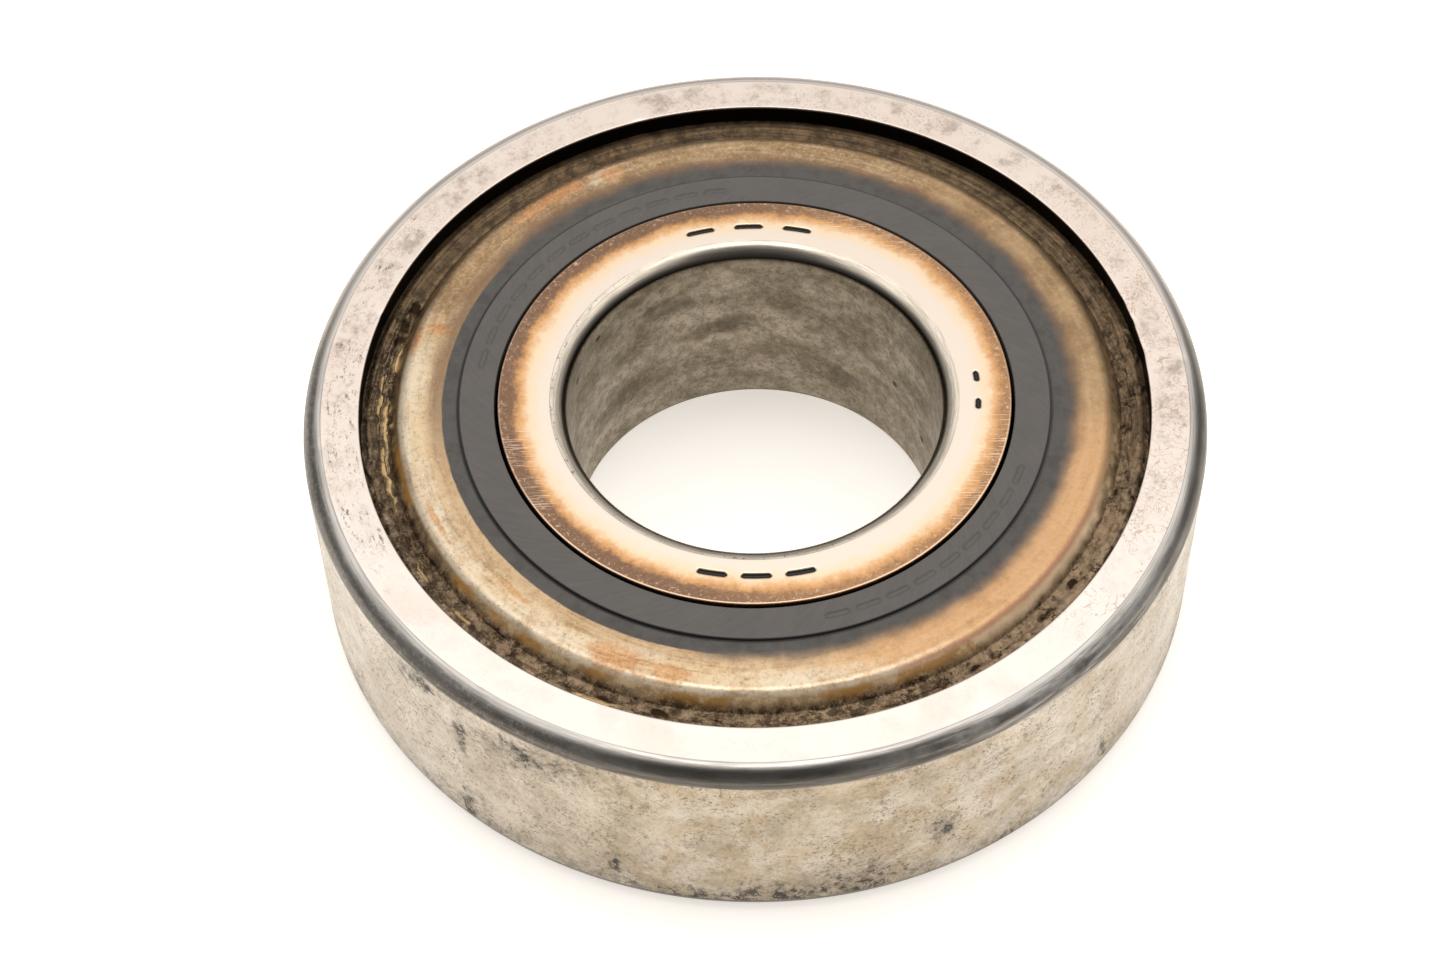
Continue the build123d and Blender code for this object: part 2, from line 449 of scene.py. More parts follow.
def rubber_section():
    """The rubber's outline: the grip round the shield, the main lip and the grease lip."""
    under = SHIELD_FACE_Z - SHIELD_T
    return rounded(
        [
            (RUBBER_OUTER_R, RUBBER_ROOT_Z, 0, COARSE),
            (RUBBER_OUTER_R, under, 0, COARSE),
            (SHIELD_INNER_R, under, 0, COARSE),
            (SHIELD_INNER_R, SHIELD_FACE_Z, 0, COARSE),
            (RUBBER_OUTER_R, SHIELD_FACE_Z, 0, COARSE),
            (RUBBER_OUTER_R, RUBBER_FACE_Z, RUBBER_EDGE_R, FINE),
            (RUBBER_INNER_R, RUBBER_FACE_Z, RUBBER_EDGE_R, SHORT),
            (RUBBER_INNER_R, LIP_TOP_Z, 0, COARSE),
            (LIP_TIP_R, LIP_TIP_Z, 0, COARSE),
            (LIP_BACK_R, LIP_TIP_Z, 0, COARSE),
            (LIP_BACK_R, LIP_TOP_Z, 0, COARSE),
            (GREASE_LIP_INNER_R, RUBBER_ROOT_Z, 0, COARSE),
            (GREASE_LIP_INNER_R, GREASE_LIP_Z, 0, COARSE),
            (GREASE_LIP_OUTER_R, GREASE_LIP_Z, 0, COARSE),
            (GREASE_LIP_ROOT_R, RUBBER_ROOT_Z, 0, COARSE),
        ]
    )


def seals():
    shield_finish = shield_steel()
    rubber_finish = seal_rubber()
    for side, name in enumerate(("upper", "lower")):
        shield = turned(f"{name}_seal_shield_pressed", shield_section(), shield_relief(side))
        rubber = turned(f"{name}_seal_rubber_moulded", rubber_section(), rubber_relief(side))
        if name == "lower":
            for piece in (shield, rubber):
                piece.data.transform(Matrix.Rotation(math.pi, 4, "X"))
        finish_piece(shield, "outer", shield_finish, f"{name}_seal_shield")
        finish_piece(rubber, "outer", rubber_finish, f"{name}_seal_rubber")


def finish_piece(piece, body, material, node):
    """Gives a piece its body and material, and shows it in a CAD node's place."""
    piece.data.materials.append(material)
    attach(piece, body)
    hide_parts(node)
    return piece


# Materials: a small set of node calls, then one function for each finish


def towards(angle):
    return math.cos(math.radians(angle)), math.sin(math.radians(angle)), 0.0


class Finish:
    """A material being built. A call adds nodes, takes numbers or outputs, and gives an output."""

    def __init__(self, name):
        self.material = bpy.data.materials.new(name)
        self.material.use_nodes = True
        self.tree = self.material.node_tree
        self.shader = self.tree.nodes["Principled BSDF"]
        self.at = self.node("ShaderNodeTexCoord").outputs["Object"]
        self.mm = self.vector("SCALE", self.at, scale=1 / MM)
        x, y, self.z = self.split(self.mm)
        self.height = self.math("ABSOLUTE", self.z)
        flat = self.join(x, y, 0.0)
        self.r = self.vector("LENGTH", flat)
        self.outward = self.vector("NORMALIZE", flat)

    def node(self, kind, inputs=(), **settings):
        made = self.tree.nodes.new(kind)
        for name, value in settings.items():
            setattr(made, name, value)
        for name, value in dict(inputs).items():
            self.feed(made.inputs[name], value)
        return made

    def feed(self, socket, value):
        if isinstance(value, bpy.types.NodeSocket):
            self.tree.links.new(value, socket)
        elif socket.type == "RGBA":
            socket.default_value = (*value, 1.0)
        else:
            socket.default_value = value

    def math(self, operation, *values):
        made = self.node("ShaderNodeMath", enumerate(values), operation=operation)
        return made.outputs[0]

    def vector(self, operation, *values, scale=None):
        made = self.node("ShaderNodeVectorMath", enumerate(values), operation=operation)
        if scale is not None:
            made.inputs["Scale"].default_value = scale
        return made.outputs["Value" if operation in ("LENGTH", "DOT_PRODUCT") else "Vector"]

    def split(self, value):
        return self.node("ShaderNodeSeparateXYZ", {0: value}).outputs

    def join(self, x, y, z):
        return self.node("ShaderNodeCombineXYZ", {0: x, 1: y, 2: z}).outputs[0]

    def times(self, first, *others):
        for other in others:
            first = self.math("MULTIPLY", first, other)
        return first

    def plus(self, first, *others):
        for other in others:
            first = self.math("ADD", first, other)
        return first

    def most(self, first, *others):
        for other in others:
            first = self.math("MAXIMUM", first, other)
        return first

    def less(self, value):
        return self.math("SUBTRACT", 1.0, value)

    def rise(self, value, low, high, top=1.0):
        """0 where value is at low, top where it is at high. low may be the larger of the two."""
        made = self.node(
            "ShaderNodeMapRange",
            {"Value": value, "From Min": low, "From Max": high, "To Max": top},
            interpolation_type="SMOOTHSTEP",
        )
        return made.outputs["Result"]

    def band(self, value, middle, half, soft):
        """1 within half of middle, falling to 0 over soft more."""
        away = self.math("ABSOLUTE", self.math("SUBTRACT", value, middle))
        return self.rise(away, half + soft, half)

    def sector(self, angle, half, soft):
        """1 within half degrees of an angle round the axis, falling to 0 over soft more degrees."""
        cosine = self.vector("DOT_PRODUCT", self.outward, towards(angle))
        none = math.cos(math.radians(min(180, half + soft)))
        return self.rise(cosine, none, math.cos(math.radians(half)))

    def noise(self, size, detail=3.0, roughness=0.55, distortion=0.0, at=None, seed=0.0):
        """Clouds of about this size in mm, from 0 to 1 and mostly near a half."""
        made = self.node(
            "ShaderNodeTexNoise",
            {
                "Vector": self.mm if at is None else at,
                "W": seed,
                "Scale": 1 / size,
                "Detail": detail,
                "Roughness": roughness,
                "Distortion": distortion,
            },
            noise_dimensions="4D",
        )
        return made.outputs[0]

    def specks(self, size, share, seed=0.0):
        """Small round specks, 1 at their middles, covering about this share."""
        made = self.node(
            "ShaderNodeTexVoronoi",
            {"Vector": self.mm, "W": seed, "Scale": 1 / size},
            voronoi_dimensions="4D",
        )
        return self.rise(made.outputs["Distance"], share, share * 0.5)

    def lines(self, length, width):
        """Coordinates stretched round the axis, for streaks of this length and width in mm."""
        ring = self.vector("SCALE", self.outward, scale=PITCH_R / length)
        x, y, _ = self.split(ring)
        return self.join(x, y, self.times(self.plus(self.r, self.z), 1 / width))

    def swirl(self, length, width, slant):
        """Coordinates for streaks across the face. slant is their turn in radians for each mm."""
        turned_out = self.node(
            "ShaderNodeVectorRotate",
            {"Vector": self.outward, "Angle": self.times(self.r, slant)},
            rotation_type="Z_AXIS",
        )
        x, y, _ = self.split(self.vector("SCALE", turned_out.outputs[0], scale=PITCH_R / width))
        return self.join(x, y, self.times(self.r, 1 / length))

    def scratches(self, angle, length, width, low, seed=0.0):
        """Thin straight scratches that all run at one angle in the plane of the face."""
        made = self.node(
            "ShaderNodeMapping",
            {
                "Vector": self.mm,
                "Rotation": (0.0, 0.0, math.radians(angle)),
                "Scale": (1 / length, 1 / width, 0.0),
            },
        )
        return self.rise(self.noise(1.0, 1, at=made.outputs[0], seed=seed), low, low + 0.04)

    def patches(self, rows, ragged=0.9, soft=0.5):
        """1 over ragged patches: rows of angle, radius, height, and half-sizes round and across."""
        edge = self.times(self.math("SUBTRACT", self.noise(0.9, 4, 0.65, seed=17.0), 0.5), 2 * ragged)
        level = self.plus(self.r, self.z)
        total = 0.0
        for angle, radius, height, length, width in rows:
            chord = self.vector("LENGTH", self.vector("SUBTRACT", self.outward, towards(angle)))
            across = self.times(self.math("SUBTRACT", level, radius + height), 1 / width)
            away = self.vector("LENGTH", self.join(self.times(chord, radius / length), across, 0.0))
            total = self.most(total, self.rise(self.plus(away, edge), 1 + soft, 1 - soft))
        return total

    def mix(self, share, first, second):
        made = self.node("ShaderNodeMix", data_type="RGBA")
        self.feed(made.inputs[0], share)
        self.feed(made.inputs[6], first)
        self.feed(made.inputs[7], second)
        return made.outputs[2]

    def blend(self, share, first, second):
        made = self.node("ShaderNodeMix", data_type="FLOAT")
        self.feed(made.inputs[0], share)
        self.feed(made.inputs[2], first)
        self.feed(made.inputs[3], second)
        return made.outputs[0]

    def finish(self, colour, roughness, bump, depth, metallic=1.0):
        """Feeds the shader. bump is a height from 0 to 1, and depth its size in mm."""
        self.feed(self.shader.inputs["Base Color"], colour)
        self.feed(self.shader.inputs["Roughness"], roughness)
        self.feed(self.shader.inputs["Metallic"], metallic)
        made = self.node("ShaderNodeBump", {"Height": bump, "Distance": depth * MM})
        self.feed(self.shader.inputs["Normal"], made.outputs["Normal"])
        return self.material


# The clean steel that the balls run on, inside both rings
TRACK_BRIGHT = (0.62, 0.61, 0.59)
TRACK_WORN = (0.50, 0.48, 0.45)

WALL_DIRT = (  # angle, radius, height, and half-sizes round the ring and across
    (231, OUTSIDE_R, 4.0, 0.5, 2.2),
    (231, OUTSIDE_R, -6.5, 0.6, 2.0),
    (224, OUTSIDE_R, 6.8, 2.0, 1.0),
    (241, OUTSIDE_R, 5.5, 3.0, 1.2),
    (252, OUTSIDE_R, -5.0, 0.4, 1.6),
    (262, OUTSIDE_R, -8.0, 3.2, 1.2),
    (272, OUTSIDE_R, -7.6, 4.5, 1.5),
    (283, OUTSIDE_R, -7.2, 3.0, 2.0),
    (293, OUTSIDE_R, -2.0, 0.9, 2.0),
    (302, OUTSIDE_R, -8.0, 0.9, 0.7),
    (319, OUTSIDE_R, -6.5, 0.6, 1.3),
    (30, OUTSIDE_R, 3.0, 2.5, 2.0),
    (75, OUTSIDE_R, -5.5, 3.0, 1.8),
    (122, OUTSIDE_R, 4.5, 2.0, 1.5),
    (160, OUTSIDE_R, -6.0, 2.6, 1.6),
)


def outer_steel():
    """Ground ring steel: pale smudged faces with painted light on the near side, unground corners painted
    with a reflection that is pale at the top and dark below, a stained and pitted outside with painted rim
    light at two sides, and painted shade on the recess wall.
    """
    m = Finish("outer_ring_steel")
    face = m.rise(m.r, CORNER_TOP_R + 0.07, CORNER_TOP_R - 0.03)
    wall = m.rise(m.height, HALF_WIDTH - OUTSIDE_CORNER_R + 0.25, HALF_WIDTH - OUTSIDE_CORNER_R)
    wall = m.times(wall, m.rise(m.r, OUTSIDE_R - 0.4, OUTSIDE_R - 0.1))
    below_edge = m.rise(m.height, HALF_WIDTH - 0.1, HALF_WIDTH - 0.2)
    below_edge = m.times(below_edge, m.rise(m.r, RECESS_R + 0.35, RECESS_R + 0.25))
    recess = m.most(m.rise(m.r, RECESS_R + 0.05, RECESS_R - 0.02), below_edge)

    # Faces: paler and less smudged towards the near side, which is painted light; smudged and finely
    # speckled round the rest
    painted_light_side = m.sector(268, 50, 40)
    dirty = m.less(painted_light_side)
    pale = m.mix(painted_light_side, (0.60, 0.515, 0.445), (0.63, 0.575, 0.515))
    cast = m.rise(m.noise(5.0, 4, 0.6, seed=14), 0.45, 0.65)
    pale = m.mix(m.times(cast, 0.35), pale, (0.56, 0.44, 0.36))
    blot = m.times(m.rise(m.noise(2.2, 7, 0.8), 0.47, 0.66), m.band(m.r, 33.1, 0.7, 0.9))
    blot = m.times(blot, m.plus(0.2, dirty))
    pale = m.mix(m.times(blot, 0.6), pale, (0.33, 0.265, 0.215))
    grain = m.rise(m.noise(0.25, 4, 0.75, seed=2), 0.5, 0.62)
    grain = m.times(grain, m.rise(m.noise(3.2, 3, seed=3), 0.42, 0.6))
    pale = m.mix(m.times(grain, m.plus(0.12, m.times(dirty, 0.45))), pale, (0.28, 0.20, 0.15))
    curls = m.band(m.noise(1.6, 2, 0.5, 2.2, seed=4), 0.5, 0.004, 0.018)
    curls = m.times(curls, m.sector(352, 28, 14), m.rise(m.noise(2.6, 2, seed=5), 0.4, 0.52))
    pale = m.mix(m.times(curls, 0.75), pale, (0.38, 0.24, 0.18))
    flecked = m.rise(m.noise(1.0, 6, 0.85, at=m.lines(0.9, 0.4), seed=6), 0.53, 0.6)
    flecked = m.times(flecked, m.sector(178, 24, 16), m.rise(m.noise(1.8, 4, 0.7, seed=13), 0.4, 0.56))
    pale = m.mix(m.times(flecked, m.band(m.r, 33.0, 1.0, 0.5), 0.9), pale, (0.13, 0.095, 0.075))

    # Outside: beige with faint clouds, fine brown marks, dirt in patches, black pits
    clouds = m.rise(m.noise(4.5, 8, 0.76, seed=5), 0.38, 0.62)
    stained = m.mix(clouds, (0.58, 0.515, 0.43), (0.45, 0.39, 0.305))
    # Paler towards two sides of the wall: painted rim light.
    painted_rim_light = m.plus(m.sector(322, 14, 24), m.sector(206, 12, 20))
    stained = m.mix(m.times(painted_rim_light, 0.5), stained, (0.68, 0.63, 0.56))
    tinted = m.times(m.sector(288, 22, 25), m.rise(m.noise(3.0, 4, 0.6, seed=15), 0.4, 0.62))
    stained = m.mix(m.times(tinted, 0.6), stained, (0.43, 0.33, 0.20))
    fine = m.rise(m.noise(0.3, 5, 0.8, seed=6), 0.51, 0.6)
    where = m.rise(m.noise(3.4, 5, 0.75, seed=16), 0.44, 0.58)
    stained = m.mix(m.times(fine, m.plus(0.35, m.times(where, 0.6))), stained, (0.155, 0.12, 0.085))
    scuffed = m.rise(m.noise(0.6, 6, 0.8, seed=32), 0.53, 0.6)
    scuffed = m.times(scuffed, m.rise(m.noise(3.0, 4, seed=33), 0.42, 0.58))
    stained = m.mix(m.times(scuffed, 0.45), stained, (0.66, 0.60, 0.52))
    marked = m.rise(m.noise(1.3, 7, 0.8, seed=27), 0.525, 0.575)
    marked = m.times(marked, m.rise(m.noise(6.0, 4, 0.6, seed=28), 0.44, 0.58))
    stained = m.mix(m.times(marked, 0.6), stained, (0.23, 0.185, 0.13))
    low_edge = m.times(m.rise(m.plus(m.z, m.times(m.noise(2.0, 4, seed=18), 5.0)), -2.0, -6.5), 0.5)
    dirt = m.most(m.patches(WALL_DIRT, 2.6, 0.8), low_edge)
    crumbs = m.rise(m.noise(0.9, 8, 0.85, seed=7), 0.48, 0.53)
    stained = m.mix(m.times(dirt, 0.4), stained, (0.24, 0.195, 0.14))
    stained = m.mix(m.times(dirt, crumbs, 0.95), stained, (0.035, 0.029, 0.023))
    pitted = m.plus(0.3, m.times(m.sector(228, 26, 20), 0.7))
    spots = m.times(m.specks(0.8, 0.16, seed=1), m.rise(m.noise(2.4, 3, seed=8), 0.46, 0.56), pitted)
    stained = m.mix(m.times(spots, 0.9), stained, (0.035, 0.03, 0.025))

    # Corners: a painted reflection, paler where they meet the face and dark below, with painted reflection
    # streaks and a pale painted far side
    brushed = m.rise(m.noise(1.0, 5, 0.7, at=m.lines(5, 0.14)), 0.36, 0.64)
    drift = m.rise(m.noise(1.0, 5, 0.7, at=m.lines(8, 0.7), seed=19), 0.38, 0.62)
    top = m.mix(brushed, (0.50, 0.46, 0.42), (0.33, 0.305, 0.275))
    depth = m.rise(m.plus(m.r, m.times(drift, 0.25)), CORNER_TOP_R + 0.3, CORNER_TOP_R + 1.0)
    corner = m.mix(depth, top, m.mix(brushed, (0.15, 0.138, 0.122), (0.085, 0.078, 0.068)))
    streaky = m.rise(m.noise(1.0, 5, 0.7, at=m.lines(6, 0.35), seed=9), 0.44, 0.6)
    painted_reflection_streaks = m.times(streaky, m.plus(0.15, m.times(m.sector(308, 8, 24), 0.85)))
    corner = m.mix(m.times(painted_reflection_streaks, 0.6), corner, (0.46, 0.43, 0.40))
    dusty = m.times(m.rise(m.noise(0.5, 6, 0.8, seed=29), 0.5, 0.6), m.sector(195, 40, 25))
    corner = m.mix(m.times(dusty, 0.32), corner, (0.36, 0.335, 0.30))
    # The far side of the corners is painted pale: a painted reflection.
    corner = m.mix(m.times(m.sector(90, 62, 30), 0.62), corner, (0.66, 0.59, 0.53))
    line = m.band(m.r, CORNER_TOP_R + 0.03, 0.02, 0.06)
    corner = m.mix(m.times(line, 0.6), corner, (0.12, 0.10, 0.09))

    colour = m.mix(face, corner, pale)
    colour = m.mix(wall, colour, stained)
    track = m.rise(m.height, SHIELD_SEAT_Z + 0.02, SHIELD_SEAT_Z - 0.05)
    # Above the shield seat the recess is near black: black dirt and painted shade.
    inside = m.mix(track, (0.009, 0.006, 0.004), m.mix(brushed, TRACK_BRIGHT, TRACK_WORN))
    colour = m.mix(recess, colour, inside)
    rough = m.blend(face, m.blend(brushed, 0.28, 0.4), m.blend(blot, 0.3, 0.5))
    rough = m.blend(wall, rough, m.blend(m.most(clouds, dirt), 0.38, 0.6))
    rough = m.blend(recess, rough, m.blend(track, 0.6, 0.16))
    metal = m.less(m.times(dirt, wall, 0.6))
    grind = m.noise(1.0, 2, at=m.lines(9, 0.06))
    return m.finish(colour, rough, m.blend(wall, m.noise(0.3, 3), grind), 0.004, metal)


BORE_STAINS = (  # angle, radius, height, and half-sizes round the ring and across
    (96, BORE_R, 0.8, 1.6, 1.0),
    (60, BORE_R, -4.6, 2.0, 1.1),
    (118, BORE_R, 4.6, 2.2, 0.9),
    (140, BORE_R, -3.0, 2.5, 1.4),
    (215, BORE_R, 3.0, 2.5, 1.2),
    (290, BORE_R, -2.0, 3.0, 1.5),
)
BORE_SPOTS = (
    (148, BORE_R, 7.0, 0.35, 0.25),
    (163, BORE_R, 6.0, 0.35, 0.3),
    (38, BORE_R, -1.0, 0.3, 0.3),
    (21, BORE_R, -3.6, 0.3, 0.35),
    (330, BORE_R, 2.0, 0.3, 0.3),
)


def inner_steel():
    """Ring steel tinted by heat: cream by the bore, orange and brown towards the seal."""
    m = Finish("inner_ring_steel")
    face_r = BORE_R + BORE_CORNER_R
    face = m.rise(m.r, face_r - 0.12, face_r - 0.04)
    bore = m.rise(m.r, BORE_R + 0.1, BORE_R + 0.02)
    lower = m.rise(m.height, HALF_WIDTH - 0.25, HALF_WIDTH - 0.4)

    # Face: the heat tint wanders, and is darkest on the far and left sides
    wander = m.times(m.math("SUBTRACT", m.noise(2.6, 4, 0.6), 0.5), 1.5)
    fine = m.times(m.math("SUBTRACT", m.noise(0.7, 6, 0.8, seed=13), 0.5), 1.7)
    heat = m.sector(175, 75, 50)
    reach = m.plus(m.r, wander, fine, m.times(heat, 0.55))
    warm = m.mix(m.rise(reach, 17.4, 18.6), (0.62, 0.53, 0.44), (0.66, 0.50, 0.34))
    warm = m.mix(m.rise(reach, 18.4, 19.4), warm, (0.52, 0.275, 0.115))
    burnt = m.times(m.rise(reach, 19.2, 20.0), m.plus(0.62, m.times(heat, 0.38)))
    warm = m.mix(burnt, warm, (0.165, 0.092, 0.055))
    drawn = m.rise(m.noise(1.0, 2, at=m.swirl(3.0, 0.08, 0.05)), 0.46, 0.66)
    warm = m.mix(m.times(drawn, 0.06), warm, (0.72, 0.60, 0.46))
    smudged = m.rise(m.noise(0.5, 7, 0.85, seed=36), 0.48, 0.6)
    smudged = m.times(smudged, m.rise(m.plus(m.r, wander), 19.0, 19.8))
    warm = m.mix(m.times(smudged, 0.4), warm, (0.10, 0.06, 0.042))
    crossing = 0.0
    for angle in (12, 58, 97, 141, 160):
        crossing = m.most(crossing, m.scratches(angle, 3.4, 0.06, 0.66, seed=float(angle)))
    scoured = m.plus(m.sector(203, 9, 8), m.sector(336, 12, 9), m.sector(60, 10, 8), 0.05)
    scratched = m.times(crossing, m.rise(m.r, 18.0, 18.8), scoured)
    warm = m.mix(m.times(scratched, 0.8), warm, (0.85, 0.66, 0.48))
    worn = m.rise(m.noise(0.3, 6, 0.85, seed=20), 0.545, 0.6)
    worn = m.times(worn, m.rise(m.plus(m.r, wander), 19.0, 20.3))
    warm = m.mix(m.times(worn, 0.6), warm, (0.72, 0.50, 0.34))
    rim = m.band(m.r, SEAL_LAND_R - 0.09, 0.03, 0.06)
    rim = m.times(rim, m.plus(0.25, m.times(m.sector(280, 55, 30), 0.5)))
    warm = m.mix(rim, warm, (0.75, 0.52, 0.36))
    specks = m.times(m.specks(1.3, 0.09, seed=4), m.rise(m.noise(4, 2, seed=6), 0.5, 0.6))
    warm = m.mix(m.times(specks, 0.7), warm, (0.16, 0.12, 0.10))

    # Bore: grey-beige, with soft stains drawn round it and a few black spots
    drift = m.rise(m.noise(1.0, 5, 0.62, at=m.lines(9, 2.6), seed=4), 0.36, 0.66)
    grain = m.rise(m.noise(1.0, 7, 0.82, seed=5), 0.44, 0.57)
    grey = m.mix(drift, (0.41, 0.355, 0.28), (0.27, 0.225, 0.16))
    grey = m.mix(m.times(grain, 0.6), grey, (0.16, 0.13, 0.085))
    grit = m.rise(m.noise(0.35, 5, 0.8, seed=30), 0.53, 0.6)
    grey = m.mix(m.times(grit, 0.45), grey, (0.10, 0.08, 0.055))
    rubbed = m.rise(m.noise(0.4, 5, 0.8, seed=35), 0.55, 0.62)
    grey = m.mix(m.times(rubbed, 0.4), grey, (0.50, 0.45, 0.37))
    grey = m.mix(m.times(m.patches(BORE_STAINS, 1.8, 0.8), 0.65), grey, (0.10, 0.08, 0.055))
    grey = m.mix(m.times(m.patches(BORE_SPOTS, 0.6, 0.3), 0.9), grey, (0.03, 0.028, 0.025))

    # Bore corner: a painted highlight by the face and painted shade by the bore, chipped along its edge on
    # the near side
    near = m.sector(215, 70, 30)
    brushed = m.rise(m.noise(1.0, 4, 0.7, at=m.lines(4, 0.2)), 0.38, 0.64)
    # Pale brushed colour by the face: a painted highlight.
    corner = m.mix(brushed, (0.57, 0.50, 0.41), (0.40, 0.345, 0.28))
    # Dark by the bore: painted shade.
    corner = m.mix(m.rise(m.r, BORE_R + 0.7, BORE_R + 0.15), corner, (0.045, 0.04, 0.034))
    chips = m.times(m.rise(m.noise(0.5, 4, 0.8, seed=21), 0.54, 0.62), m.band(m.r, face_r - 0.2, 0.12, 0.2))
    chips = m.times(chips, near)
    corner = m.mix(m.times(chips, 0.8), corner, (0.13, 0.11, 0.09))
    edge = m.times(m.band(m.r, face_r - 0.08, 0.02, 0.05), near)
    corner = m.mix(m.times(edge, 0.6), corner, (0.17, 0.14, 0.12))
    colour = m.mix(face, corner, warm)
    colour = m.mix(m.times(face, lower), colour, (0.10, 0.08, 0.06))
    track = m.times(face, m.rise(m.height, SEAL_LAND_Z + 0.02, SEAL_LAND_Z - 0.05))
    colour = m.mix(track, colour, m.mix(drawn, TRACK_BRIGHT, TRACK_WORN))
    colour = m.mix(bore, colour, grey)
    marked = m.rise(m.height, HALF_WIDTH - 0.03, HALF_WIDTH - 0.09)
    marked = m.times(marked, m.band(m.r, MARK_R, MARK_HALF_WIDTH, 0.1), m.rise(m.z, 0, 1))
    colour = m.mix(marked, colour, (0.028, 0.026, 0.024))
    rough = m.blend(track, m.blend(face, 0.25, 0.34), 0.16)
    rough = m.blend(bore, rough, m.blend(drift, 0.42, 0.58))
    return m.finish(colour, rough, bump=m.noise(1.0, 2, at=m.swirl(4, 0.1, 0.05)), depth=0.003)


ORANGE_STAINS = (  # angle, radius, height, and half-sizes round the ring and across
    (247, 27.1, SHIELD_FACE_Z, 2.2, 0.9),
    (256, 27.3, SHIELD_FACE_Z, 1.6, 0.7),
    (206, 27.5, SHIELD_FACE_Z, 1.6, 0.25),
    (226, 26.4, SHIELD_FACE_Z, 1.8, 0.25),
    (164, 26.6, SHIELD_FACE_Z, 0.5, 1.1),
    (167, 27.9, SHIELD_FACE_Z, 1.2, 0.3),
    (116, 27.0, SHIELD_FACE_Z, 1.0, 0.8),
    (128, 27.3, SHIELD_FACE_Z, 4.0, 0.6),
)
SILVER_PATCHES = (
    (118, 27.0, SHIELD_FACE_Z, 1.3, 0.6),
    (175, 27.3, SHIELD_FACE_Z, 3.5, 0.8),
    (205, 27.2, SHIELD_FACE_Z, 7.0, 0.7),
    (235, 27.2, SHIELD_FACE_Z, 4.0, 0.9),
    (252, 25.9, SHIELD_FACE_Z, 1.0, 0.5),
    (276, 27.2, SHIELD_FACE_Z, 4.5, 0.7),
)
FOOT_LEVEL = SHIELD_SEAT_Z + SHIELD_T
FOOT_RUST = (
    (194, 28.5, 8.55, 3.0, 0.5),
    (219, 28.6, 8.45, 1.0, 0.4),
    (227, 28.4, 8.6, 1.2, 0.35),
    (233, 28.5, 8.5, 0.9, 0.35),
    (245, 28.4, 8.6, 0.8, 0.4),
    (260, 28.4, 8.6, 3.0, 0.4),
    (285, 28.9, 8.2, 2.5, 0.5),
    (298, 28.8, 8.3, 3.0, 0.4),
)
GOLD_STREAKS = (
    (171, 29.4, FOOT_LEVEL, 1.4, 0.2),
    (186, 29.6, FOOT_LEVEL, 3.2, 0.18),
    (193, 29.9, FOOT_LEVEL, 2.6, 0.16),
    (178, 30.2, FOOT_LEVEL, 2.4, 0.12),
    (212, 30.6, FOOT_LEVEL, 0.8, 0.2),
    (222, 30.3, FOOT_LEVEL, 1.4, 0.25),
    (247, 30.7, FOOT_LEVEL, 1.8, 0.3),
)


